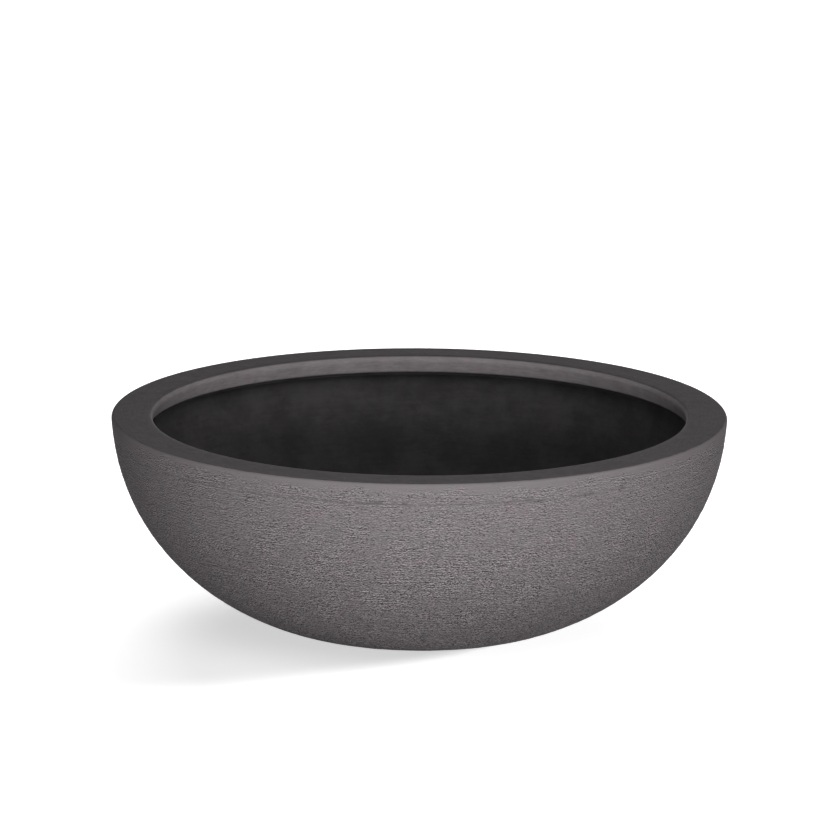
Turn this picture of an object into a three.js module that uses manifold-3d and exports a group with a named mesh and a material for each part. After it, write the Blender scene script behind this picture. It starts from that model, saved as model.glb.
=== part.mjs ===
// Round concrete bowl planter: a cast shell with a broad returned rim, a black waterproof lining,
// a sleeved drain hole with a rubber bung, and four rubber pads in pockets under the base ring.
// Millimetres and degrees. +Z up, origin on the floor at the centre of the bowl.
import * as THREE from 'three';
import * as BufferGeometryUtils from 'three/addons/utils/BufferGeometryUtils.js';
import Module from 'manifold-3d';

// ---- Driving dimensions ----
const OUTER_RADIUS = 300;          // widest point, at the rounding of the rim
const HEIGHT = 210;                // floor to the flat rim
const BASE_RADIUS = 116;           // where the belly meets the flat base ring

// The turned side of the bowl, one smooth curve from the base ring to the rim.
const RIM_LEAN = 4;                // inward lean of the side just under the rim, from vertical
const BELLY_RISE = 7.8;            // rise of the belly where it leaves the base, from horizontal
const SIDE_FULLNESS = 0.79;        // how far the side keeps to its lean, 0 to 1
const BELLY_FULLNESS = 0.29;       // how far the belly keeps to its rise, 0 to 1

// The returned rim and its drafted lip.
const RIM_WIDTH = 42;
const RIM_OUTER_ROUND = 3;
const RIM_INNER_ROUND = 4;
const LIP_DEPTH = 18;
const LIP_DRAFT = 7;               // the lip's foot stands this much further out than its top
const LIP_FOOT_ROUND = 2;
const UNDERCUT_ROUND = 10;         // fillet between the underside of the rim and the wall

// Walls of the casting.
const WALL = 12;
const FLOOR_THICKNESS = 15;        // over the base ring
const BASE_RING_WIDTH = 34;
const RECESS_DEPTH = 4;            // the underside inside the base ring is raised by this much
const RECESS_DRAFT = 4;
const RECESS_ROUND = 2;

// The waterproof lining.
const LINING = 2.5;
const LINING_SETBACK = 4;          // bare strip under the lip, measured in from its foot

// Drain hole, sleeve and bung.
const DRAIN_BORE_RADIUS = 13.2;    // at the mouth of the sleeve
const BORE_TAPER = 3;              // the bore narrows downward by this angle on each side
const SLEEVE_WALL = 2.5;           // at the mouth
const SLEEVE_FLANGE = 2.4;
const SLEEVE_OVERLAP = 9;          // the sleeve's flange covers the lining's edge by this much
const BUNG_DEPTH = 14;             // how far the plug reaches into the bore
const BUNG_FLANGE = 3;
const BUNG_OVERLAP = 5;            // the bung's flange covers the sleeve by this much
const GRIP_NECK_RADIUS = 4;
const GRIP_NECK = 5;
const GRIP_RADIUS = 8.5;
const GRIP = 7;
const MOULDED_ROUND = 1;           // edges of the small moulded pieces

// Base pads.
const PAD_COUNT = 4;
const PAD_RADIUS = 12;
const PAD_STAND = 2;               // height of the base ring above the floor
const PAD_POCKET = 1.5;            // depth of the pocket that locates a pad

// Fits.
const SEAT_GAP = 0.3;              // between pieces that rest on or in each other

// Smoothness of the curved surfaces.
const BOWL_SIDES = 64;
const SMALL_SIDES = 24;
const SIDE_STEPS = 14;
const INSIDE_STEPS = 11;
const ROUND_STEPS = 3;

// ---- Levels and radii that follow from them ----
const BASE_Z = PAD_STAND;
const FLOOR_Z = BASE_Z + FLOOR_THICKNESS;
const RECESS_Z = BASE_Z + RECESS_DEPTH;
const LIP_FOOT_Z = HEIGHT - LIP_DEPTH;
const RIM_INNER_RADIUS = OUTER_RADIUS - RIM_WIDTH;
const RECESS_RADIUS = BASE_RADIUS - BASE_RING_WIDTH;
const LINING_FLOOR_Z = FLOOR_Z + SEAT_GAP + LINING;
const SLEEVE_SEAT_Z = LINING_FLOOR_Z + SEAT_GAP;
const SLEEVE_TOP_Z = SLEEVE_SEAT_Z + SLEEVE_FLANGE;
const BUNG_SEAT_Z = SLEEVE_TOP_Z + SEAT_GAP;
const SLEEVE_TUBE_RADIUS = DRAIN_BORE_RADIUS + SLEEVE_WALL;
const DRAIN_HOLE_RADIUS = SLEEVE_TUBE_RADIUS + SEAT_GAP;
const SLEEVE_FLANGE_RADIUS = DRAIN_HOLE_RADIUS + SLEEVE_OVERLAP;
const BUNG_FLANGE_RADIUS = DRAIN_BORE_RADIUS + BUNG_OVERLAP;
const PAD_PITCH_RADIUS = BASE_RADIUS - BASE_RING_WIDTH / 2;

// ---- Outlines in the plane of radius (x) and height (y) ----
const point = (radius, z) => new THREE.Vector2(radius, z);
const direction = (angle) => point(Math.cos(angle), Math.sin(angle));
const radians = THREE.MathUtils.degToRad;
const LIP_FOOT = point(RIM_INNER_RADIUS + LIP_DRAFT, LIP_FOOT_Z);

// Where two lines meet, each given by a point and a direction.
function crossing(pointA, directionA, pointB, directionB) {
  const between = pointB.clone().sub(pointA);
  const along = between.cross(directionB) / directionA.cross(directionB);
  return pointA.clone().addScaledVector(directionA, along);
}

function arc(centre, radius, fromAngle, toAngle) {
  return Array.from({ length: ROUND_STEPS + 1 }, (_, step) => {
    const angle = THREE.MathUtils.lerp(fromAngle, toAngle, step / ROUND_STEPS);
    return centre.clone().addScaledVector(direction(angle), radius);
  });
}

// A corner rounded by a tangent arc, which is never longer than half of the shorter side.
function rounded(before, corner, after, radius) {
  const sideA = before.clone().sub(corner);
  const sideB = after.clone().sub(corner);
  const halfAngle = Math.abs(sideA.angleTo(sideB)) / 2;
  const longest = Math.min(sideA.length(), sideB.length()) / 2;
  const reach = Math.min(radius / Math.tan(halfAngle), longest);
  sideA.normalize();
  sideB.normalize();
  const toCentre = sideA.clone().add(sideB).setLength(reach / Math.cos(halfAngle));
  const centre = corner.clone().add(toCentre);
  const start = corner.clone().addScaledVector(sideA, reach).sub(centre);
  const end = corner.clone().addScaledVector(sideB, reach).sub(centre);
  const turn = Math.atan2(start.cross(end), start.dot(end));
  return arc(centre, start.length(), start.angle(), start.angle() + turn);
}

// An open run of points moved square to itself, to the right of its direction.
function offset(points, distance) {
  const normals = points.slice(1).map((end, index) => {
    const along = end.clone().sub(points[index]).normalize();
    return point(along.y, -along.x);
  });
  return points.map((here, index) => {
    const before = normals[Math.max(index - 1, 0)];
    const after = normals[Math.min(index, normals.length - 1)];
    const mitre = before.clone().add(after).normalize();
    return here.clone().addScaledVector(mitre, distance / mitre.dot(before));
  });
}

// A closed outline: each entry is a point, or a corner with the radius that rounds it.
function outline(entries) {
  const corners = entries.map((entry) => entry.corner ?? entry);
  const points = entries.flatMap((entry, index) => {
    if (!entry.corner) return [entry];
    const before = corners.at(index - 1);
    const after = corners[(index + 1) % corners.length];
    return rounded(before, entry.corner, after, entry.radius);
  });
  return [...points, points[0].clone()];
}

const round = (corner, radius) => ({ corner, radius });

// The outer side of the bowl, from the base ring up to where the rounding of the rim begins.
function sideCurve() {
  const lean = radians(RIM_LEAN);
  const base = point(BASE_RADIUS, BASE_Z);
  const rim = rimRoundCentre().addScaledVector(direction(-lean), RIM_OUTER_ROUND);
  const belly = direction(radians(BELLY_RISE));
  const side = direction(Math.PI / 2 - lean);
  const corner = crossing(base, belly, rim, side);
  const bellyHandle = base.clone().lerp(corner, BELLY_FULLNESS);
  const sideHandle = rim.clone().lerp(corner, SIDE_FULLNESS);
  return new THREE.CubicBezierCurve(base, bellyHandle, sideHandle, rim);
}

function rimRoundCentre() {
  return point(OUTER_RADIUS - RIM_OUTER_ROUND, HEIGHT - RIM_OUTER_ROUND);
}

const SIDE = sideCurve();

// The point of the side at a parameter, moved square to it into the wall by a depth.
function wallPoint(parameter, depth) {
  const tangent = SIDE.getTangent(parameter);
  return SIDE.getPoint(parameter).addScaledVector(point(-tangent.y, tangent.x), depth);
}

// The parameter at which the surface at a depth passes a level.
function wallParameter(level, depth) {
  let low = 0;
  let high = 1;
  while (high - low > 1e-9) {
    const middle = (low + high) / 2;
    if (wallPoint(middle, depth).y < level) low = middle;
    else high = middle;
  }
  return low;
}

// The inside of the wall at a depth, from an upper level down to a lower one.
function wallPoints(depth, upperLevel, lowerLevel) {
  const top = wallParameter(upperLevel, depth);
  const bottom = wallParameter(lowerLevel, depth);
  return Array.from({ length: INSIDE_STEPS + 1 }, (_, step) =>
    wallPoint(THREE.MathUtils.lerp(top, bottom, step / INSIDE_STEPS), depth));
}

// ---- Solids ----
function revolve(points, sides) {
  return new THREE.LatheGeometry(points, sides).rotateX(Math.PI / 2);
}

const wasm = await Module();
wasm.setup();

function toSolid(geometry) {
  const bare = geometry.clone();
  bare.deleteAttribute('normal');
  bare.deleteAttribute('uv');
  const merged = BufferGeometryUtils.mergeVertices(bare, 1e-4);
  const mesh = new wasm.Mesh({
    numProp: 3,
    vertProperties: merged.attributes.position.array,
    triVerts: new Uint32Array(merged.index.array),
  });
  return new wasm.Manifold(mesh);
}

function toGeometry(solid) {
  const mesh = solid.getMesh();
  const geometry = new THREE.BufferGeometry();
  geometry.setAttribute('position', new THREE.BufferAttribute(mesh.vertProperties, 3));
  geometry.setIndex(new THREE.BufferAttribute(mesh.triVerts, 1));
  geometry.computeVertexNormals();
  return geometry;
}

function padAngles() {
  return Array.from({ length: PAD_COUNT }, (_, index) => 2 * Math.PI * (index + 0.5) / PAD_COUNT);
}

// The hollow of the casting: round the undercut below the rim, down the wall and over the floor.
function hollowPoints() {
  const wall = wallPoints(WALL, LIP_FOOT_Z, FLOOR_Z);
  return [
    ...rounded(LIP_FOOT, wall[0], wall[1], UNDERCUT_ROUND),
    ...wall.slice(1),
    point(DRAIN_HOLE_RADIUS, FLOOR_Z),
  ];
}

// The casting: base ring and recess, belly and side, flat rim, drafted lip and hollow.
function castingOutline() {
  return outline([
    point(DRAIN_HOLE_RADIUS, RECESS_Z),
    round(point(RECESS_RADIUS - RECESS_DRAFT, RECESS_Z), RECESS_ROUND),
    round(point(RECESS_RADIUS, BASE_Z), RECESS_ROUND),
    ...SIDE.getPoints(SIDE_STEPS).slice(0, -1),
    ...arc(rimRoundCentre(), RIM_OUTER_ROUND, -radians(RIM_LEAN), Math.PI / 2),
    round(point(RIM_INNER_RADIUS, HEIGHT), RIM_INNER_ROUND),
    round(LIP_FOOT, LIP_FOOT_ROUND),
    ...hollowPoints(),
  ]);
}

// The space of a pocket, from its roof in the base ring down to the floor.
function pocketSolid(angle) {
  const radius = PAD_RADIUS + SEAT_GAP;
  const roofZ = BASE_Z + PAD_POCKET;
  const pocket = new THREE.CylinderGeometry(radius, radius, roofZ, SMALL_SIDES);
  pocket.rotateX(Math.PI / 2);
  pocket.translate(PAD_PITCH_RADIUS, 0, roofZ / 2);
  pocket.rotateZ(angle);
  return toSolid(pocket);
}

function concreteShell() {
  const casting = toSolid(revolve(castingOutline(), BOWL_SIDES));
  const pockets = padAngles().map(pocketSolid);
  return toGeometry(pockets.reduce((shell, pocket) => shell.subtract(pocket), casting));
}

// The lining lies on the hollow of the casting, from near the lip's foot to the drain hole.
function innerLining() {
  const edge = LIP_FOOT.clone().setX(LIP_FOOT.x + LINING_SETBACK);
  const bed = [edge, ...hollowPoints()];
  const face = offset(bed, SEAT_GAP + LINING);
  const back = offset(bed, SEAT_GAP).reverse();
  return revolve(outline([...face, ...back]), BOWL_SIDES);
}

// Radius of the sleeve's tapered bore at a level.
function boreRadius(z) {
  return DRAIN_BORE_RADIUS - (SLEEVE_TOP_Z - z) * Math.tan(radians(BORE_TAPER));
}

function drainSleeve() {
  return revolve(outline([
    point(boreRadius(RECESS_Z), RECESS_Z),
    point(SLEEVE_TUBE_RADIUS, RECESS_Z),
    point(SLEEVE_TUBE_RADIUS, SLEEVE_SEAT_Z),
    point(SLEEVE_FLANGE_RADIUS, SLEEVE_SEAT_Z),
    round(point(SLEEVE_FLANGE_RADIUS, SLEEVE_TOP_Z), MOULDED_ROUND),
    point(DRAIN_BORE_RADIUS, SLEEVE_TOP_Z),
  ]), SMALL_SIDES);
}

// The bung: tapered plug, flange over the mouth of the sleeve, and a mushroom grip on a neck.
function drainBung() {
  const footZ = SLEEVE_TOP_Z - BUNG_DEPTH;
  const flangeTopZ = BUNG_SEAT_Z + BUNG_FLANGE;
  const gripZ = flangeTopZ + GRIP_NECK;
  const gripTopZ = gripZ + GRIP;
  return revolve(outline([
    point(0, footZ),
    round(point(boreRadius(footZ) - SEAT_GAP, footZ), MOULDED_ROUND),
    point(boreRadius(BUNG_SEAT_Z) - SEAT_GAP, BUNG_SEAT_Z),
    point(BUNG_FLANGE_RADIUS, BUNG_SEAT_Z),
    round(point(BUNG_FLANGE_RADIUS, flangeTopZ), MOULDED_ROUND),
    round(point(GRIP_NECK_RADIUS, flangeTopZ), MOULDED_ROUND),
    round(point(GRIP_NECK_RADIUS, gripZ), MOULDED_ROUND),
    round(point(GRIP_RADIUS, gripZ), GRIP / 3),
    round(point(GRIP_RADIUS, gripTopZ), GRIP / 2),
    point(0, gripTopZ),
  ]), SMALL_SIDES);
}

function basePad() {
  const topZ = BASE_Z + PAD_POCKET - SEAT_GAP;
  return revolve(outline([
    point(0, 0),
    round(point(PAD_RADIUS, 0), MOULDED_ROUND),
    point(PAD_RADIUS, topZ),
    point(0, topZ),
  ]), SMALL_SIDES);
}

// ---- Assembly ----
const CONCRETE = new THREE.MeshStandardMaterial({ color: 0x6a6667, roughness: 0.9, metalness: 0 });
const LINING_BLACK = new THREE.MeshStandardMaterial({ color: 0x201f1f, roughness: 0.75, metalness: 0 });
const SLEEVE_PLASTIC = new THREE.MeshStandardMaterial({ color: 0x2b2b2b, roughness: 0.5, metalness: 0 });
const BUNG_RUBBER = new THREE.MeshStandardMaterial({ color: 0x1a1a1a, roughness: 0.8, metalness: 0 });
const PAD_RUBBER = new THREE.MeshStandardMaterial({ color: 0x232323, roughness: 0.85, metalness: 0 });

function namedMesh(name, geometry, material) {
  const mesh = new THREE.Mesh(geometry, material);
  mesh.name = name;
  return mesh;
}

const planter = new THREE.Group();
planter.add(
  namedMesh('concrete_shell', concreteShell(), CONCRETE),
  namedMesh('inner_lining', innerLining(), LINING_BLACK),
  namedMesh('drain_sleeve', drainSleeve(), SLEEVE_PLASTIC),
  namedMesh('drain_bung', drainBung(), BUNG_RUBBER),
);

padAngles().forEach((angle, index) => {
  const pad = namedMesh(`base_pad_${index + 1}`, basePad(), PAD_RUBBER);
  pad.position.set(PAD_PITCH_RADIUS * Math.cos(angle), PAD_PITCH_RADIUS * Math.sin(angle), 0);
  planter.add(pad);
});

export default planter;
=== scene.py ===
"""A round concrete bowl planter, dressed around its fixed solids. Metres, +Z up, floor at z 0.

The casting, the lining, the drain sleeve, the bung and the pads are turned again here from the
same sizes as the solids, with a finer surface: combed marks on the outside, a trowelled rim,
a brushed coat inside, moulded rings on the small parts.
"""

import math

import bpy
import numpy as np
from mathutils import Matrix, Vector

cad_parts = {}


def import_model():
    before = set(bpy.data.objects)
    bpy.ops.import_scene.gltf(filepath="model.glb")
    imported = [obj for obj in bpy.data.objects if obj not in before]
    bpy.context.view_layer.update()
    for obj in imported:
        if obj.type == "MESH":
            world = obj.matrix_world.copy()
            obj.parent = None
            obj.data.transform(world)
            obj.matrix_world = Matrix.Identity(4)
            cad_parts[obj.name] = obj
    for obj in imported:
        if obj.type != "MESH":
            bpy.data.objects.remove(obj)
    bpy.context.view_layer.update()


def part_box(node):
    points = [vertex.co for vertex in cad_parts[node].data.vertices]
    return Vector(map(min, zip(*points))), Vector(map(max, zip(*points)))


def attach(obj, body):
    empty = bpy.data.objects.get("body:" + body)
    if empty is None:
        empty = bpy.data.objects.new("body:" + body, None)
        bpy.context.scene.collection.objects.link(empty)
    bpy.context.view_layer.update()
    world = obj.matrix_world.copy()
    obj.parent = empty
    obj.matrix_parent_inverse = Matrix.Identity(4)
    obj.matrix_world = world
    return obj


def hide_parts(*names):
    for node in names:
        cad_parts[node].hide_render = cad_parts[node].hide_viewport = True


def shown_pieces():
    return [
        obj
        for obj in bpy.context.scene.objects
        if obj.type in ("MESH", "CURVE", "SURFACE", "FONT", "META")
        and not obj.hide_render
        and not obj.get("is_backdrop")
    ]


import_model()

# ---- Sizes of the solids, in metres ----
shell_low, shell_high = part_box("concrete_shell")
OUTER_RADIUS = shell_high.x
HEIGHT = shell_high.z
BASE_Z = shell_low.z
BASE_RADIUS = 0.116
RIM_LEAN = 4                       # degrees, inward lean of the side just under the rim
BELLY_RISE = 7.8                   # degrees, rise of the belly where it leaves the base
SIDE_FULLNESS = 0.79
BELLY_FULLNESS = 0.29
RIM_WIDTH = 0.042
RIM_OUTER_ROUND = 0.003
RIM_INNER_ROUND = 0.004
LIP_DEPTH = 0.018
LIP_DRAFT = 0.007
LIP_FOOT_ROUND = 0.002
UNDERCUT_ROUND = 0.010
WALL = 0.012
FLOOR_THICKNESS = 0.015
BASE_RING_WIDTH = 0.034
RECESS_DEPTH = 0.004
RECESS_DRAFT = 0.004
RECESS_ROUND = 0.002
LINING = 0.0025
LINING_SETBACK = 0.004
DRAIN_BORE_RADIUS = 0.0132
BORE_TAPER = 3                     # degrees
SLEEVE_WALL = 0.0025
SLEEVE_FLANGE = 0.0024
SLEEVE_OVERLAP = 0.009
BUNG_DEPTH = 0.014
BUNG_FLANGE = 0.003
BUNG_OVERLAP = 0.005
GRIP_NECK_RADIUS = 0.004
GRIP_NECK = 0.005
GRIP_RADIUS = 0.0085
GRIP = 0.007
MOULDED_ROUND = 0.001
PAD_COUNT = 4
PAD_RADIUS = 0.012
PAD_POCKET = 0.0015
SEAT_GAP = 0.0003

FLOOR_Z = BASE_Z + FLOOR_THICKNESS
RECESS_Z = BASE_Z + RECESS_DEPTH
LIP_FOOT_Z = HEIGHT - LIP_DEPTH
RIM_INNER_RADIUS = OUTER_RADIUS - RIM_WIDTH
RECESS_RADIUS = BASE_RADIUS - BASE_RING_WIDTH
LINING_FLOOR_Z = FLOOR_Z + SEAT_GAP + LINING
SLEEVE_SEAT_Z = LINING_FLOOR_Z + SEAT_GAP
SLEEVE_TOP_Z = SLEEVE_SEAT_Z + SLEEVE_FLANGE
BUNG_SEAT_Z = SLEEVE_TOP_Z + SEAT_GAP
SLEEVE_TUBE_RADIUS = DRAIN_BORE_RADIUS + SLEEVE_WALL
DRAIN_HOLE_RADIUS = SLEEVE_TUBE_RADIUS + SEAT_GAP
SLEEVE_FLANGE_RADIUS = DRAIN_HOLE_RADIUS + SLEEVE_OVERLAP
BUNG_FLANGE_RADIUS = DRAIN_BORE_RADIUS + BUNG_OVERLAP
PAD_PITCH_RADIUS = BASE_RADIUS - BASE_RING_WIDTH / 2

# ---- Surface relief ----
COMB_DEPTH = 0.00040               # of the long horizontal marks of the comb
DRAG_DEPTH = 0.00025               # of the deeper dashes, where grains were dragged out
SWELL_DEPTH = 0.0005               # of the slow unevenness of the hand-finished side
TROWEL_DEPTH = 0.00015             # of the waves in the rim
BRUSH_DEPTH = 0.0003               # of the brush marks in the lining

# ---- Mesh density, in rows along the profile and columns round the axis ----
BOWL_COLUMNS = 360
SIDE_ROWS = 190
RIM_ROUND_ROWS = 10
RIM_ROWS = 8
RIM_INNER_ROWS = 4
LIP_ROWS = 5
CORNER_ROWS = 3                    # of each small rounded corner
UNDER_ROWS = 4                     # of each flat ring underneath
BORE_ROWS = 2
PLAIN_HOLLOW_ROWS = (24, 4, 3)     # of the wall, of the round of the undercut and of the floor
COATED_HOLLOW_ROWS = (90, 8, 24)
LINING_COLUMNS = 240
SMALL_COLUMNS = 96
SHARP_FROM = 40                    # degrees between faces, from which an edge is sharp
MOULDED_STEPS = 4                  # of each rounded corner of a moulded piece
CURVE_STEPS = 3000                 # of the exact side, before it is cut into even rows

BOWL_SEED = 7
LINING_SEED = 8

# ---- Camera, as the photograph was taken ----
CAMERA_DISTANCE = 8.0              # from the centre of the rim
CAMERA_ELEVATION = 12.83           # degrees
CAMERA_YAW = -0.0652               # degrees off the centre of the rim
CAMERA_PITCH = 0.0236
CAMERA_ROLL = 0.295
IMAGE_SIDE = 820
FOCAL_PIXELS = 8210
SENSOR_WIDTH = 36


# ---- Outlines in the plane of radius and height ----
def at(radius, z):
    return np.array((radius, z))


def heading(degrees):
    angle = math.radians(degrees)
    return np.array((math.cos(angle), math.sin(angle)))


def unit(vector):
    return vector / np.linalg.norm(vector)


def cross(a, b):
    return a[0] * b[1] - a[1] * b[0]


def crossing(point_a, along_a, point_b, along_b):
    """Where two lines meet, each given by a point and a direction."""
    return point_a + along_a * cross(point_b - point_a, along_b) / cross(along_a, along_b)


def straight(start, end, steps):
    """Points from start to end, without the end."""
    return [start + (end - start) * step / steps for step in range(steps)]


def arc(centre, radius, start, end, steps):
    """Points of an arc between two angles in degrees, both ends included."""
    return [centre + radius * heading(angle) for angle in np.linspace(start, end, steps + 1)]


def rounded(before, corner, after, radius, steps):
    """A corner rounded by a tangent arc, which is never longer than half of the shorter side."""
    side_a, side_b = before - corner, after - corner
    longest = min(np.linalg.norm(side_a), np.linalg.norm(side_b)) / 2
    side_a, side_b = unit(side_a), unit(side_b)
    half = math.acos(np.clip(side_a @ side_b, -1, 1)) / 2
    reach = min(radius / math.tan(half), longest)
    centre = corner + unit(side_a + side_b) * reach / math.cos(half)
    start = corner + side_a * reach - centre
    turn = math.atan2(cross(start, corner + side_b * reach - centre),
                      start @ (corner + side_b * reach - centre))
    first = math.degrees(math.atan2(start[1], start[0]))
    return arc(centre, np.linalg.norm(start), first, first + math.degrees(turn), steps)


def evenly(points, steps):
    """The same line with evenly spaced points, both ends included."""
    points = np.asarray(points)
    lengths = np.linalg.norm(np.diff(points, axis=0), axis=1)
    along = np.concatenate(([0], np.cumsum(lengths)))
    wanted = np.linspace(0, along[-1], steps + 1)
    return np.stack([np.interp(wanted, along, points[:, axis]) for axis in (0, 1)], axis=1)


def right_normals(points):
    """Unit normals to the right of an open line, at its points."""
    tangents = np.gradient(np.asarray(points), axis=0)
    normals = np.stack([tangents[:, 1], -tangents[:, 0]], axis=1)
    return normals / np.linalg.norm(normals, axis=1, keepdims=True)


def offset(points, distance):
    """An open line moved square to itself, to the right of its direction."""
    points = np.asarray(points)
    sides = np.diff(points, axis=0)
    normals = np.stack([sides[:, 1], -sides[:, 0]], axis=1)
    normals /= np.linalg.norm(normals, axis=1, keepdims=True)
    before = np.vstack([normals[:1], normals])
    after = np.vstack([normals, normals[-1:]])
    mitre = before + after
    mitre /= np.linalg.norm(mitre, axis=1, keepdims=True)
    return points + mitre * distance / np.sum(mitre * before, axis=1, keepdims=True)


RIM_ROUND_CENTRE = at(OUTER_RADIUS - RIM_OUTER_ROUND, HEIGHT - RIM_OUTER_ROUND)
LIP_FOOT = at(RIM_INNER_RADIUS + LIP_DRAFT, LIP_FOOT_Z)


def side_curve():
    """The turned side, from the base ring up to where the rounding of the rim begins."""
    base = at(BASE_RADIUS, BASE_Z)
    rim = RIM_ROUND_CENTRE + RIM_OUTER_ROUND * heading(-RIM_LEAN)
    corner = crossing(base, heading(BELLY_RISE), rim, heading(90 - RIM_LEAN))
    belly_handle = base + (corner - base) * BELLY_FULLNESS
    side_handle = rim + (corner - rim) * SIDE_FULLNESS
    t = np.linspace(0, 1, CURVE_STEPS + 1)[:, None]
    s = 1 - t
    return s**3 * base + 3 * s**2 * t * belly_handle + 3 * s * t**2 * side_handle + t**3 * rim


def hollow(wall_rows, round_rows, floor_rows):
    """The hollow of the casting: the undercut, the wall and the floor, to the drain hole."""
    side = side_curve()
    inside = (side - WALL * right_normals(side))[::-1]
    kept = inside[(inside[:, 1] < LIP_FOOT_Z) & (inside[:, 1] > FLOOR_Z)]
    top = at(np.interp(LIP_FOOT_Z, inside[::-1, 1], inside[::-1, 0]), LIP_FOOT_Z)
    bottom = at(np.interp(FLOOR_Z, inside[::-1, 1], inside[::-1, 0]), FLOOR_Z)
    wall = evenly(np.vstack([top, kept, bottom]), wall_rows)
    depths = np.linalg.norm(wall - wall[0], axis=1)
    along = wall[np.searchsorted(depths, 2 * UNDERCUT_ROUND)]
    undercut = rounded(LIP_FOOT, wall[0], along, UNDERCUT_ROUND, round_rows)
    past_undercut = np.searchsorted(depths, 1.2 * UNDERCUT_ROUND)
    return [*undercut, *wall[past_undercut:-1],
            *straight(wall[-1], at(DRAIN_HOLE_RADIUS, FLOOR_Z), floor_rows),
            at(DRAIN_HOLE_RADIUS, FLOOR_Z)]


# ---- Meshes ----
def smooth_noise(generator, rows, columns, row_spread, column_spread):
    """Noise from 0 to 1 that closes round the columns, blurred by so many rows and columns."""
    noise = generator.standard_normal((rows, columns))
    row_waves = np.fft.fftfreq(rows)[:, None] * row_spread
    column_waves = np.fft.fftfreq(columns)[None, :] * column_spread
    blur = np.exp(-2 * math.pi**2 * (row_waves**2 + column_waves**2))
    noise = np.real(np.fft.ifft2(np.fft.fft2(noise) * blur))
    noise /= 3 * noise.std()
    return np.clip(0.5 + noise / 2, 0, 1)


def ramp(value, plain, rise):
    """0 up to plain, then up to 1 over the rise."""
    return np.clip((value - plain) / rise, 0, 1)


def turned(name, profile, columns, depth=None):
    """A closed mesh turned about Z. The profile goes counter-clockwise, with the solid on its left.

    It closes on itself, or starts and ends on the axis. depth holds how far each point of each
    row is sunk into the solid, one row for each point of the profile.
    """
    profile = np.asarray(profile)
    on_axis = profile[0, 0] == 0
    wrapped = np.vstack([profile[-1:], profile, profile[:1]])
    normals = right_normals(wrapped)[1:-1]
    angles = np.arange(columns) * 2 * math.pi / columns
    sunk = np.zeros((len(profile), columns)) if depth is None else depth
    radius = profile[:, :1] - normals[:, :1] * sunk
    z = profile[:, 1:] - normals[:, 1:] * sunk
    points = np.stack([radius * np.cos(angles), radius * np.sin(angles), z + 0 * angles], axis=2)
    if on_axis:
        points = points[1:-1]
    count = len(points)
    grid = np.arange(count * columns).reshape(count, columns)
    after = np.roll(grid, -1, axis=1)
    low, low_after = (grid[:-1], after[:-1]) if on_axis else (grid, after)
    high = grid[1:] if on_axis else np.roll(grid, -1, axis=0)
    high_after = after[1:] if on_axis else np.roll(after, -1, axis=0)
    faces = np.stack([low, low_after, high_after, high], axis=2).reshape(-1, 4).tolist()
    vertices = points.reshape(-1, 3).tolist()
    if on_axis:
        first, last = len(vertices), len(vertices) + 1
        vertices += [(0, 0, profile[0, 1]), (0, 0, profile[-1, 1])]
        faces += [(first, b, a) for a, b in zip(grid[0].tolist(), after[0].tolist())]
        faces += [(last, a, b) for a, b in zip(grid[-1].tolist(), after[-1].tolist())]
    mesh = bpy.data.meshes.new(name)
    mesh.from_pydata(vertices, [], faces)
    mesh.shade_smooth()
    mesh.set_sharp_from_angle(angle=math.radians(SHARP_FROM))
    piece = bpy.data.objects.new(name, mesh)
    bpy.context.scene.collection.objects.link(piece)
    return piece


def dress(piece, node, body, material):
    """The piece stands for a node, rides on its body and takes a material."""
    piece.data.materials.append(material)
    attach(piece, body)
    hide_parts(node)


def pad_angles():
    return [2 * math.pi * (index + 0.5) / PAD_COUNT for index in range(PAD_COUNT)]


def cut(piece, cutters):
    """Cuts the cutters out of the piece and removes them."""
    for cutter in cutters:
        tool = piece.modifiers.new("pocket", "BOOLEAN")
        tool.object = cutter
        tool.operation = "DIFFERENCE"
        tool.solver = "EXACT"
    view = bpy.context.evaluated_depsgraph_get()
    mesh = bpy.data.meshes.new_from_object(piece.evaluated_get(view))
    piece.modifiers.clear()
    piece.data = mesh
    for cutter in cutters:
        bpy.data.objects.remove(cutter)


def pocket_cutter(angle):
    radius = PAD_RADIUS + SEAT_GAP
    roof_z = BASE_Z + PAD_POCKET
    profile = [at(0, -roof_z), at(radius, -roof_z), at(radius, roof_z), at(0, roof_z)]
    cutter = turned("pocket_cutter", profile, SMALL_COLUMNS)
    cutter.location = (PAD_PITCH_RADIUS * math.cos(angle), PAD_PITCH_RADIUS * math.sin(angle), 0)
    return cutter


def side_relief(generator, rows):
    """Depth of the combed side: long marks, deeper dashes in patches, and a slow unevenness.

    It stands proud as much as it is sunk, but for the bands by the rim and the base.
    """
    size = (rows, BOWL_COLUMNS)
    marks = smooth_noise(generator, *size, 0.55, 2.2)
    dashes = ramp(smooth_noise(generator, *size, 0.7, 1.1), 1.9 / 3, 1 / 3)  # of its peaks only
    patches = 2 * smooth_noise(generator, *size, 12, 5)
    swell = smooth_noise(generator, *size, 22, 14)
    depth = COMB_DEPTH * marks + DRAG_DEPTH * dashes * patches + SWELL_DEPTH * swell
    depth -= depth.mean()
    row = np.arange(rows)[:, None]
    return depth * ramp(rows - row, 4, 9) * ramp(row, 0, 6)


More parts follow.
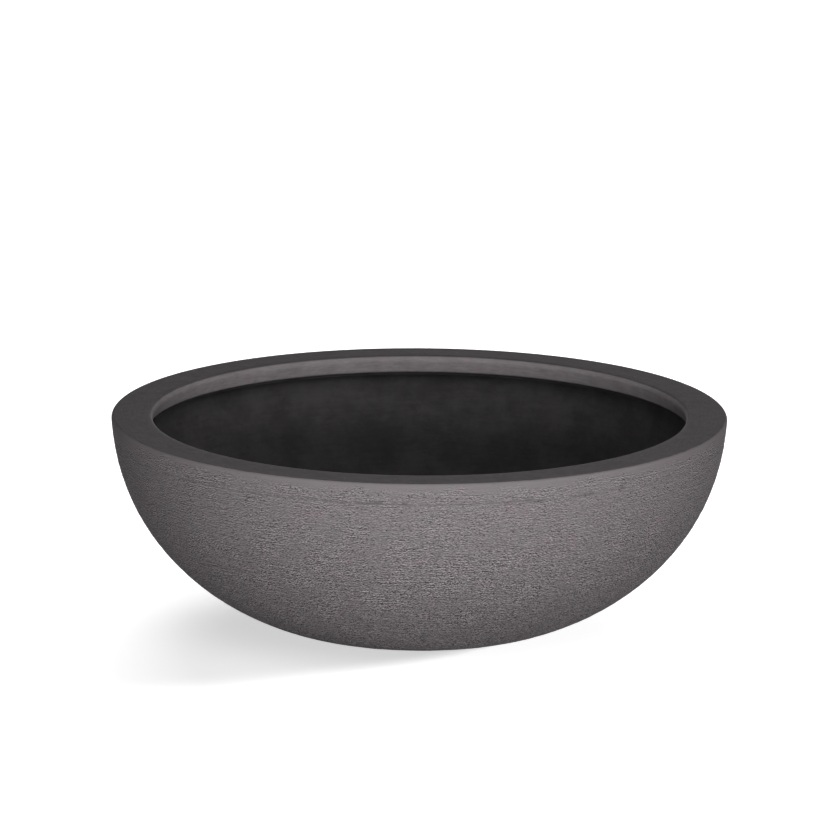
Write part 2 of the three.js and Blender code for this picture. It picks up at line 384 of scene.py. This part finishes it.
def underside(hole):
    """From the drain hole over the recess and the base ring to the foot of the side."""
    recess_edge = at(RECESS_RADIUS - RECESS_DRAFT, RECESS_Z)
    ring_edge = at(RECESS_RADIUS, BASE_Z)
    base_edge = at(BASE_RADIUS, BASE_Z)
    recess_round = rounded(hole, recess_edge, ring_edge, RECESS_ROUND, CORNER_ROWS)
    ring_round = rounded(recess_edge, ring_edge, base_edge, RECESS_ROUND, CORNER_ROWS)
    return [*straight(hole, recess_round[0], UNDER_ROWS), *recess_round, *ring_round[:-1],
            *straight(ring_round[-1], base_edge, UNDER_ROWS)]


def concrete_bowl():
    """The casting, with its side combed, its rim trowelled and the pad pockets cut."""
    hole = at(DRAIN_HOLE_RADIUS, RECESS_Z)
    under = underside(hole)
    side = evenly(side_curve(), SIDE_ROWS)[:-1]
    inside = hollow(*PLAIN_HOLLOW_ROWS)
    rim_inner = at(RIM_INNER_RADIUS, HEIGHT)
    outer_round = arc(RIM_ROUND_CENTRE, RIM_OUTER_ROUND, -RIM_LEAN, 90, RIM_ROUND_ROWS)
    inner_round = rounded(outer_round[-1], rim_inner, LIP_FOOT, RIM_INNER_ROUND, RIM_INNER_ROWS)
    foot_round = rounded(rim_inner, LIP_FOOT, inside[0], LIP_FOOT_ROUND, CORNER_ROWS)
    rim = [*outer_round[:-1], *straight(outer_round[-1], inner_round[0], RIM_ROWS),
           *inner_round[:-1], *straight(inner_round[-1], foot_round[0], LIP_ROWS), *foot_round]
    inside += straight(inside[-1], hole, BORE_ROWS)[1:]
    profile = np.vstack([under, side, rim, inside])

    generator = np.random.default_rng(BOWL_SEED)
    depth = np.zeros((len(profile), BOWL_COLUMNS))
    side_row = len(under)
    depth[side_row:side_row + len(side)] = side_relief(generator, len(side))
    flat_row = side_row + len(side) + len(outer_round)
    waves = smooth_noise(generator, len(rim), BOWL_COLUMNS, 3, 9)[:RIM_ROWS - 1]
    depth[flat_row:flat_row + len(waves)] = TROWEL_DEPTH * waves
    bowl = turned("concrete_bowl", profile, BOWL_COLUMNS, depth)
    cut(bowl, [pocket_cutter(angle) for angle in pad_angles()])
    return bowl


def bitumen_lining():
    """The coat on the hollow, with the marks of a brush drawn round the bowl."""
    edge = LIP_FOOT + at(LINING_SETBACK, 0)
    face = offset([edge, *hollow(*COATED_HOLLOW_ROWS)], SEAT_GAP + LINING)
    back = offset([edge, *hollow(*PLAIN_HOLLOW_ROWS)], SEAT_GAP)[::-1]
    profile = np.vstack([face, back])
    generator = np.random.default_rng(LINING_SEED)
    rows = len(face)
    strokes = smooth_noise(generator, rows, LINING_COLUMNS, 0.9, 6)
    runs = smooth_noise(generator, rows, LINING_COLUMNS, 6, 9)
    row = np.arange(rows)[:, None]
    depth = np.zeros((len(profile), LINING_COLUMNS))
    depth[:rows] = BRUSH_DEPTH * (strokes + runs) * ramp(row, 10, 6) * ramp(rows - row, 6, 4)
    return turned("bitumen_lining", profile, LINING_COLUMNS, depth)


def bore_radius(z):
    return DRAIN_BORE_RADIUS - (SLEEVE_TOP_Z - z) * math.tan(math.radians(BORE_TAPER))


def moulded(corners):
    """A profile, closed or from axis to axis, of corners (radius, z) or (radius, z, rounding)."""
    points = []
    for index, corner in enumerate(corners):
        here = at(*corner[:2])
        if len(corner) == 2:
            points.append(here)
            continue
        before = at(*corners[index - 1][:2])
        after = at(*corners[(index + 1) % len(corners)][:2])
        points += rounded(before, here, after, corner[2], MOULDED_STEPS)
    return points


def drain_sleeve():
    """The cast-in sleeve, with a shallow groove round the top of its flange."""
    groove_depth = 0.0004
    groove_radius = SLEEVE_FLANGE_RADIUS - 0.003
    groove_width = 0.0012
    soft = 0.0005
    return turned("sleeve", moulded([
        (bore_radius(RECESS_Z), RECESS_Z, soft),
        (SLEEVE_TUBE_RADIUS, RECESS_Z, soft),
        (SLEEVE_TUBE_RADIUS, SLEEVE_SEAT_Z),
        (SLEEVE_FLANGE_RADIUS, SLEEVE_SEAT_Z, soft),
        (SLEEVE_FLANGE_RADIUS, SLEEVE_TOP_Z, MOULDED_ROUND),
        (groove_radius, SLEEVE_TOP_Z),
        (groove_radius - groove_width / 4, SLEEVE_TOP_Z - groove_depth),
        (groove_radius - groove_width * 3 / 4, SLEEVE_TOP_Z - groove_depth),
        (groove_radius - groove_width, SLEEVE_TOP_Z),
        (DRAIN_BORE_RADIUS, SLEEVE_TOP_Z, soft),
    ]), SMALL_COLUMNS)


def rubber_bung():
    """The bung: a plug with two sealing rings, a flange, and a grip with its mould line."""
    foot_z = SLEEVE_TOP_Z - BUNG_DEPTH
    flange_top_z = BUNG_SEAT_Z + BUNG_FLANGE
    grip_z = flange_top_z + GRIP_NECK
    grip_top_z = grip_z + GRIP
    middle_z = (grip_z + grip_top_z) / 2
    ring_proud = 0.0002
    ring_half = 0.0006             # of the width of a ring
    line = 0.0001                  # how far the mould line stands proud

    def plug(z, proud=0.0):
        return (bore_radius(z) - SEAT_GAP + proud, z)

    rings = []
    for ring_z in (foot_z + BUNG_DEPTH * 0.35, foot_z + BUNG_DEPTH * 0.65):
        rings += [plug(ring_z - ring_half), plug(ring_z - ring_half / 2, ring_proud),
                  plug(ring_z + ring_half / 2, ring_proud), plug(ring_z + ring_half)]
    return turned("bung", moulded([
        (0, foot_z),
        (*plug(foot_z), MOULDED_ROUND),
        *rings,
        plug(BUNG_SEAT_Z),
        (BUNG_FLANGE_RADIUS, BUNG_SEAT_Z, MOULDED_ROUND / 2),
        (BUNG_FLANGE_RADIUS, flange_top_z, MOULDED_ROUND),
        (GRIP_NECK_RADIUS, flange_top_z, MOULDED_ROUND),
        (GRIP_NECK_RADIUS, grip_z, MOULDED_ROUND),
        (GRIP_RADIUS - line, grip_z, GRIP / 3),
        (GRIP_RADIUS - line, middle_z - line),
        (GRIP_RADIUS, middle_z),
        (GRIP_RADIUS - line, middle_z + line),
        (GRIP_RADIUS - line, grip_top_z, GRIP / 2.2),
        (0, grip_top_z),
    ]), SMALL_COLUMNS)


def rubber_pad(index, angle):
    """A pad with three grip grooves in the face that it stands on."""
    top_z = BASE_Z + PAD_POCKET - SEAT_GAP
    groove_depth = 0.0005
    groove_width = 0.0012
    grooves = []
    for radius in (0.003, 0.006, 0.009):
        grooves += [(radius - groove_width / 2, 0), (radius - groove_width / 4, groove_depth),
                    (radius + groove_width / 4, groove_depth), (radius + groove_width / 2, 0)]
    pad = turned(f"pad_{index}", moulded([
        (0, 0), *grooves, (PAD_RADIUS, 0, MOULDED_ROUND), (PAD_RADIUS, top_z, MOULDED_ROUND / 3),
        (0, top_z),
    ]), SMALL_COLUMNS)
    place = (PAD_PITCH_RADIUS * math.cos(angle), PAD_PITCH_RADIUS * math.sin(angle), 0)
    pad.data.transform(Matrix.Translation(place))
    return pad


# ---- Materials ----
class Material:
    """A material under construction: small helpers that add a node and return its output."""

    def __init__(self, name, **surface):
        self.material = bpy.data.materials.new(name)
        self.material.use_nodes = True
        self.tree = self.material.node_tree
        self.surface = self.tree.nodes["Principled BSDF"]
        for socket, value in surface.items():
            self.surface.inputs[socket.replace("_", " ")].default_value = value
        self.position = self.add("ShaderNodeTexCoord").outputs["Object"]

    def add(self, kind, inputs=(), **settings):
        node = self.tree.nodes.new(kind)
        for key, value in settings.items():
            setattr(node, key, value)
        for index, value in dict(inputs).items():
            self.feed(node.inputs[index], value)
        return node

    def feed(self, socket, value):
        if isinstance(value, bpy.types.NodeSocket):
            self.tree.links.new(value, socket)
        else:
            socket.default_value = value

    def maths(self, operation, *values):
        return self.add("ShaderNodeMath", enumerate(values), operation=operation).outputs[0]

    def vector(self, operation, *values):
        return self.add("ShaderNodeVectorMath", enumerate(values), operation=operation).outputs[0]

    def total(self, start, *parts):
        """start, plus each value times its weight."""
        for value, weight in parts:
            start = self.maths("MULTIPLY_ADD", value, weight, start)
        return start

    def noise(self, vector, scale, detail=2.0, roughness=0.5):
        inputs = {"Vector": vector, "Scale": scale, "Detail": detail, "Roughness": roughness}
        return self.add("ShaderNodeTexNoise", inputs).outputs["Fac"]

    def step(self, value, low, high):
        """0 below low, 1 above high, smooth between. low may be above high."""
        inputs = {"Value": value, "From Min": low, "From Max": high}
        node = self.add("ShaderNodeMapRange", inputs, interpolation_type="SMOOTHSTEP")
        return node.outputs[0]

    def blend(self, share, a, b):
        """A value that is a where share is 0 and b where it is 1."""
        return self.add("ShaderNodeMix", {0: share, 2: a, 3: b}, data_type="FLOAT").outputs[0]

    def blend_colours(self, share, a, b):
        return self.add("ShaderNodeMix", {0: share, 6: a, 7: b}, data_type="RGBA").outputs[2]

    def lit(self, colour, level):
        """The colour, lighter where level is above 1 and darker where it is below."""
        grey = self.add("ShaderNodeCombineXYZ", {0: level, 1: level, 2: level}).outputs[0]
        return self.vector("MULTIPLY", colour, grey)

    def bump(self, height, depth):
        inputs = {"Height": height, "Distance": depth, "Strength": 1.0}
        return self.add("ShaderNodeBump", inputs).outputs[0]

    def finish(self, colour, normal, roughness=None):
        self.feed(self.surface.inputs["Base Color"], colour)
        self.feed(self.surface.inputs["Normal"], normal)
        if roughness is not None:
            self.feed(self.surface.inputs["Roughness"], roughness)
        return self.material

    def turn(self, radius_share=1.0):
        """Sets the radius and the height of each point of the bowl, and its run."""
        flat = self.vector("MULTIPLY", self.position, (1, 1, 0))
        self.radius = self.add("ShaderNodeVectorMath", {0: flat}, operation="LENGTH").outputs[1]
        self.z = self.add("ShaderNodeSeparateXYZ", {0: self.position}).outputs[2]
        self.lay(radius_share)

    def lay(self, radius_share):
        """Sets the run that marks lie across: the height and this share of the radius."""
        self.run = self.maths("MULTIPLY_ADD", self.radius, radius_share, self.z)

    def round_the_bowl(self, length, width, seed=0.0):
        """Coordinates whose unit is a mark of that length round the bowl and that width."""
        lifted = self.maths("MULTIPLY_ADD", self.run, 1 / width, seed)
        up = self.add("ShaderNodeCombineXYZ", {2: lifted}).outputs[0]
        return self.vector("MULTIPLY_ADD", self.position, (1 / length, 1 / length, 0), up)

    def marks(self, length, width, seed):
        """Painted shade of grooves round the bowl: each mark light below and dark above, as light
        from above shades a groove.
        """
        here = self.noise(self.round_the_bowl(length, width, seed), 1, 1)
        above = self.noise(self.round_the_bowl(length, width, seed + 0.7), 1, 1)
        return self.maths("SUBTRACT", here, above)

    def flecks(self, length, width, seed, low, high):
        """Separate flecks of about that size. The higher low is, the fewer they are."""
        return self.step(self.noise(self.round_the_bowl(length, width, seed), 1, 1), low, high)


def rgb(red, green, blue):
    return (red, green, blue, 1.0)


CEMENT = rgb(0.2130, 0.1945, 0.2005)
PINKER_CEMENT = rgb(0.2200, 0.1925, 0.2007)
GREENER_CEMENT = rgb(0.2090, 0.1965, 0.2008)
THICK_COAT = rgb(0.035, 0.0325, 0.0335)
THIN_COAT = rgb(0.060, 0.0565, 0.0575)

# Bands in which a look changes: where it begins, and where it is full. Heights but for RIM_EDGE.
COMB_STARTS = (0.2185, 0.2080)     # after up to 0.020 of unevenness is added to the height
COMB_STRONGER = (0.18, 0.09)
RIM_EDGE = (0.2994, 0.2986)        # radius, after up to 0.0018 of unevenness is added
RIM_DOWN_TO = (0.188, 0.190)
LIP_STARTS = (0.2096, 0.2088)
LIP_FOOT_SHADE = (0.1940, 0.1928)
UNDERCUT_SHADE_FADES = (0.192, 0.162)
DARKER_LOW_DOWN = (0.150, 0.120)


def cement(m):
    """The colour of the cement: grey, with small faint spots of a pinker and a greener one."""
    pink = m.step(m.noise(m.position, 52, 2, 0.6), 0.54, 0.68)
    elsewhere = m.vector("ADD", m.position, (3.1, 0.7, 1.9))
    green = m.step(m.noise(elsewhere, 46, 2, 0.6), 0.54, 0.68)
    return m.blend_colours(green, m.blend_colours(pink, CEMENT, PINKER_CEMENT), GREENER_CEMENT)


def combed(m):
    """The level and the relief of the side, whose comb marks lie across its height; its level holds
    painted shade of marks, pits and holes, and the cement's own grain and flecks.
    """
    m.turn(radius_share=0.2)

    # How strongly the comb shows: in patches, less high up, and hardly just below the rim.
    patches = m.step(m.noise(m.position, 34, 3, 0.65), 0.36, 0.64)
    uneven_z = m.total(m.z, (m.noise(m.position, 40, 2), 0.020))
    below_rim = m.step(uneven_z, *COMB_STARTS)
    lower = m.total(0.68, (m.step(m.z, *COMB_STRONGER), 0.55))
    rough = m.maths("MULTIPLY", below_rim, m.total(0.55, (patches, 0.50)))
    rough = m.maths("MULTIPLY", rough, lower)

    streaks = m.noise(m.round_the_bowl(0.030, 0.0035), 1, 2, 0.6)
    grain = m.maths("SUBTRACT", m.noise(m.position, 900, 1), 0.5)
    # Painted shade: dark specks where shade would fall in pits, and in the holes below, darkening
    # painted over their sunk relief.
    pit_shade = m.maths("MULTIPLY", m.step(m.noise(m.position, 480, 0), 0.72, 0.78), below_rim)
    holes = m.flecks(0.0026, 0.0018, 90.0, 0.68, 0.78)
    # Painted shade: the marks are painted shading of the comb's grooves and the holes are darkened
    # as painted shade in them; the grain and the pale flecks are the cement's own tone.
    painted_shade_and_grain = m.total(
        0.0,
        (m.marks(0.0240, 0.0011, 20.0), 1.7),
        (m.marks(0.0042, 0.0011, 40.0), 1.0),
        (m.marks(0.0020, 0.0009, 60.0), 4.3),
        (holes, -0.9),
        (m.flecks(0.0024, 0.0014, 140.0, 0.68, 0.78), 0.5),
        (grain, 3.6))
    level = m.maths("MAXIMUM", m.total(0.92, (streaks, 0.16), (pit_shade, -0.55), (painted_shade_and_grain, rough)), 0.12)

    ridges = m.noise(m.round_the_bowl(0.0042, 0.0011, 40.0), 1, 1)
    relief = m.maths("MULTIPLY", ridges, rough)
    return level, m.total(relief, (m.maths("MULTIPLY", holes, rough), -0.7))


def trowelled(m):
    """The level and the relief of the rim and the lip, whose faint streaks go round them.

    The rim's top is cloudy, with a few pale nicks and scuffs; its low level is painted shade of the
    top. The lip is made lighter as painted light where it faces the lamps, and painted shade
    darkens it where it turns under.
    """
    m.lay(radius_share=1.0)
    cloud = m.noise(m.position, 60, 4, 0.65)
    streaks = m.noise(m.round_the_bowl(0.011, 0.0014, 200.0), 1, 2, 0.6)
    lip = m.step(m.z, *LIP_STARTS)
    top = m.maths("SUBTRACT", 1.0, lip)
    nicks = m.maths("MULTIPLY", m.flecks(0.0042, 0.0024, 240.0, 0.73, 0.79), top)
    scuffs = m.maths("MULTIPLY", m.flecks(0.0080, 0.0009, 300.0, 0.72, 0.80), top)
    # Painted shade: the top's level starts low, darker than the side, as the lamps graze it; cloud,
    # streaks, nicks and scuffs are its own tone.
    level = m.total(0.30, (cloud, 0.34), (streaks, 0.36), (nicks, 0.6), (scuffs, 0.25))
    # Painted light: the lip is twice as light as the top, where it faces the lamps.
    level = m.maths("MULTIPLY", level, m.total(1.0, (lip, 1.0)))
    # Painted shade: the lip's foot, where it turns under, is darkened by half.
    level = m.maths("MULTIPLY", level, m.total(1.0, (m.step(m.z, *LIP_FOOT_SHADE), -0.5)))
    return level, m.maths("MULTIPLY", cloud, 0.3)


def concrete():
    """Grey cement: finely combed and pitted on the side, trowelled smooth on the rim and lip."""
    m = Material("grey_concrete", Roughness=0.9, Specular_IOR_Level=0.08)
    colour = cement(m)
    side_level, side_height = combed(m)
    rim_level, rim_height = trowelled(m)
    uneven_radius = m.total(m.radius, (m.noise(m.position, 160, 2), 0.0018))
    # On the rim, the trowelled level holds painted shade of the top and painted light on the lip.
    on_rim = m.maths("MULTIPLY", m.step(uneven_radius, *RIM_EDGE), m.step(m.z, *RIM_DOWN_TO))
    level = m.blend(on_rim, side_level, rim_level)
    height = m.blend(on_rim, side_height, rim_height)
    return m.finish(m.lit(colour, level), m.bump(height, 0.0006))


def lining():
    """A black brushed coat, cloudy; darkened under the lip as painted shade of the undercut, and
    darker towards the bottom.
    """
    m = Material("bitumen_coat", Roughness=0.8, Specular_IOR_Level=0.15)
    m.turn()
    cloud = m.noise(m.position, 26, 5, 0.65)
    strokes = m.noise(m.round_the_bowl(0.03, 0.005), 1, 3, 0.6)
    thin = m.total(m.maths("MULTIPLY", cloud, 0.8), (strokes, 0.2))
    coat = m.blend_colours(m.step(thin, 0.34, 0.66), THICK_COAT, THIN_COAT)
    # Painted shade: the lining is darkened right under the lip, where the undercut's shade falls.
    shade_below_lip = m.total(0.62, (m.step(m.z, *UNDERCUT_SHADE_FADES), 0.6))
    # Darker towards the bottom of the bowl.
    low_down = m.total(1.0, (m.step(m.z, *DARKER_LOW_DOWN), -0.25))
    level = m.maths("MULTIPLY", shade_below_lip, low_down)
    return m.finish(m.lit(coat, level), m.bump(strokes, 0.0003))


def moulded_plastic():
    """Black satin plastic with a fine grain."""
    m = Material("sleeve_plastic", Roughness=0.45, Specular_IOR_Level=0.4)
    grain = m.noise(m.position, 900, 2)
    cloud = m.noise(m.position, 60, 2)
    colour = m.blend_colours(cloud, rgb(0.022, 0.022, 0.022), rgb(0.034, 0.034, 0.034))
    roughness = m.maths("MULTIPLY_ADD", grain, 0.25, 0.35)
    return m.finish(colour, m.bump(grain, 0.00005), roughness)


def rubber(name, dark, pale):
    """Black rubber with a faint pale bloom."""
    m = Material(name, Roughness=0.75, Specular_IOR_Level=0.3)
    bloom = m.noise(m.position, 90, 3, 0.6)
    grain = m.noise(m.position, 1200, 2)
    share = m.step(bloom, 0.4, 0.7)
    colour = m.blend_colours(share, rgb(dark, dark, dark), rgb(pale, pale, pale))
    roughness = m.maths("MULTIPLY_ADD", bloom, 0.3, 0.6)
    return m.finish(colour, m.bump(grain, 0.00008), roughness)


def dress_planter():
    dress(concrete_bowl(), "concrete_shell", "planter", concrete())
    dress(bitumen_lining(), "inner_lining", "planter", lining())
    dress(drain_sleeve(), "drain_sleeve", "planter", moulded_plastic())
    dress(rubber_bung(), "drain_bung", "bung", rubber("bung_rubber", 0.016, 0.030))
    pad_material = rubber("pad_rubber", 0.020, 0.034)
    for index, angle in enumerate(pad_angles(), 1):
        dress(rubber_pad(index, angle), f"base_pad_{index}", "planter", pad_material)


# ---- Camera, floor and light ----
def camera():
    """The photograph's camera: square on to the axis, a little above the rim."""
    elevation = math.radians(CAMERA_ELEVATION)
    from_rim = CAMERA_DISTANCE * Vector((0, -math.cos(elevation), math.sin(elevation)))
    right = Vector((1, 0, 0))
    forward = -from_rim.normalized()
    up = right.cross(forward)
    forward += math.tan(math.radians(CAMERA_YAW)) * right
    forward += math.tan(math.radians(CAMERA_PITCH)) * up
    forward.normalize()
    right = forward.cross(Vector((0, 0, 1))).normalized()
    up = right.cross(forward)
    roll = math.radians(CAMERA_ROLL)
    rolled_right = math.cos(roll) * right + math.sin(roll) * up
    rolled_up = math.cos(roll) * up - math.sin(roll) * right
    data = bpy.data.cameras.new("camera")
    data.sensor_width = SENSOR_WIDTH
    data.lens = FOCAL_PIXELS / IMAGE_SIDE * SENSOR_WIDTH
    view = bpy.data.objects.new("camera", data)
    axes = Matrix((rolled_right, rolled_up, -forward)).transposed()
    view.matrix_world = Matrix.Translation(Vector((0, 0, HEIGHT)) + from_rim) @ axes.to_4x4()
    bpy.context.scene.collection.objects.link(view)
    bpy.context.scene.camera = view


def seen_directly(tree):
    """1 for what the camera, a reflection or a refraction sees, 0 for light on its way."""
    path = tree.nodes.new("ShaderNodeLightPath")
    total = path.outputs["Is Camera Ray"]
    for name in ("Is Glossy Ray", "Is Transmission Ray"):
        either = tree.nodes.new("ShaderNodeMath")
        either.operation = "MAXIMUM"
        tree.links.new(total, either.inputs[0])
        tree.links.new(path.outputs[name], either.inputs[1])
        total = either.outputs[0]
    return total


FLOOR_RADIUS = 30
FLOOR_SIDES = 64
FLOOR_TONE = 0.80                  # of the floor as the camera sees it, in full light
FLOOR_GLOW = 0.61                  # lifts it to white where no shadow falls
BOUNCE_TONE = 0.15                 # of the floor as it lights the bowl from below
AMBIENT = 0.02


def floor():
    """A plain white floor. It keeps the bowl's shadow and gives back little light."""
    rim = [(FLOOR_RADIUS * math.cos(a), FLOOR_RADIUS * math.sin(a), 0)
           for a in np.linspace(0, 2 * math.pi, FLOOR_SIDES, endpoint=False)]
    mesh = bpy.data.meshes.new("floor")
    mesh.from_pydata(rim, [], [range(FLOOR_SIDES)])
    ground = bpy.data.objects.new("floor", mesh)
    bpy.context.scene.collection.objects.link(ground)
    ground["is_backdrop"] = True
    material = bpy.data.materials.new("white_floor")
    material.use_nodes = True
    tree = material.node_tree
    surface = tree.nodes["Principled BSDF"]
    surface.inputs["Base Color"].default_value = rgb(FLOOR_TONE, FLOOR_TONE, FLOOR_TONE)
    surface.inputs["Specular IOR Level"].default_value = 0.0
    surface.inputs["Roughness"].default_value = 1.0
    surface.inputs["Emission Color"].default_value = rgb(1, 1, 1)
    surface.inputs["Emission Strength"].default_value = FLOOR_GLOW
    bounce = tree.nodes.new("ShaderNodeBsdfDiffuse")
    bounce.inputs["Color"].default_value = rgb(BOUNCE_TONE, BOUNCE_TONE, BOUNCE_TONE)
    either = tree.nodes.new("ShaderNodeMixShader")
    tree.links.new(seen_directly(tree), either.inputs[0])
    tree.links.new(bounce.outputs[0], either.inputs[1])
    tree.links.new(surface.outputs[0], either.inputs[2])
    tree.links.new(either.outputs[0], tree.nodes["Material Output"].inputs["Surface"])
    mesh.materials.append(material)
    return ground


def world():
    """White behind the floor, and a soft even light from all around."""
    bpy.context.scene.world = bpy.data.worlds.new("studio")
    bpy.context.scene.world.use_nodes = True
    tree = bpy.context.scene.world.node_tree
    background = tree.nodes["Background"]
    background.inputs["Color"].default_value = rgb(1, 1, 1)
    strength = tree.nodes.new("ShaderNodeMapRange")
    strength.inputs["To Min"].default_value = AMBIENT
    strength.inputs["To Max"].default_value = 1.0
    tree.links.new(seen_directly(tree), strength.inputs["Value"])
    tree.links.new(strength.outputs[0], background.inputs["Strength"])


def lamp(name, azimuth, elevation, distance, size, level, lights):
    """A square soft lamp that faces the bowl and lights one collection of objects.

    Azimuth 0 is the camera's side, 90 the right. level is about the brightness that it gives to a
    white surface that faces it, for a lamp that is small against its distance.
    """
    a, e = math.radians(azimuth), math.radians(elevation)
    back = Vector((math.sin(a) * math.cos(e), -math.cos(a) * math.cos(e), math.sin(e)))
    data = bpy.data.lights.new(name, "AREA")
    data.size = size
    data.energy = level * math.pi**2 * distance**2
    light = bpy.data.objects.new(name, data)
    light.rotation_mode = "QUATERNION"
    light.rotation_quaternion = back.to_track_quat("Z", "Y")
    light.location = Vector((0, 0, HEIGHT / 2)) + back * distance
    light.visible_camera = False
    bpy.context.scene.collection.objects.link(light)
    light.light_linking.receiver_collection = lights


def gathered(name, objects):
    """A collection, outside the scene, that a lamp's light is kept to."""
    group = bpy.data.collections.new(name)
    for item in objects:
        group.objects.link(item)
    return group


# Name, azimuth, elevation, distance, size and level. The floor hides the lower half of the key.
PLANTER_LAMPS = (
    ("key", 0, 0, 3.0, 1.2, 1.08),
    ("above", 10, 35, 3.0, 1.2, 0.22),
    ("fill", 50, 20, 3.0, 1.2, 0.13),
    ("rim_left", -100, 25, 1.2, 0.5, 0.015),
    ("rim_right", 100, 25, 1.2, 0.5, 0.03),
    ("back", 180, 3, 3.0, 0.6, 0.35),
)
FLOOR_LAMPS = (
    ("floor_side", 101, 7, 12.0, 1.5, 3.2),
    ("floor_back", 180, 45, 8.0, 6.0, 0.90),
    ("floor_front", 0, 45, 8.0, 6.0, 0.35),
)


def light_studio(ground):
    """Lights the planter and the floor apart, so that the floor is white and keeps its shadow."""
    planter = gathered("planter_pieces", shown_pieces())
    floor_only = gathered("floor_only", [ground])
    for settings in PLANTER_LAMPS:
        lamp(*settings, lights=planter)
    for settings in FLOOR_LAMPS:
        lamp(*settings, lights=floor_only)


camera()
dress_planter()
ground = floor()
world()
light_studio(ground)
bpy.context.scene.view_settings.view_transform = "Standard"
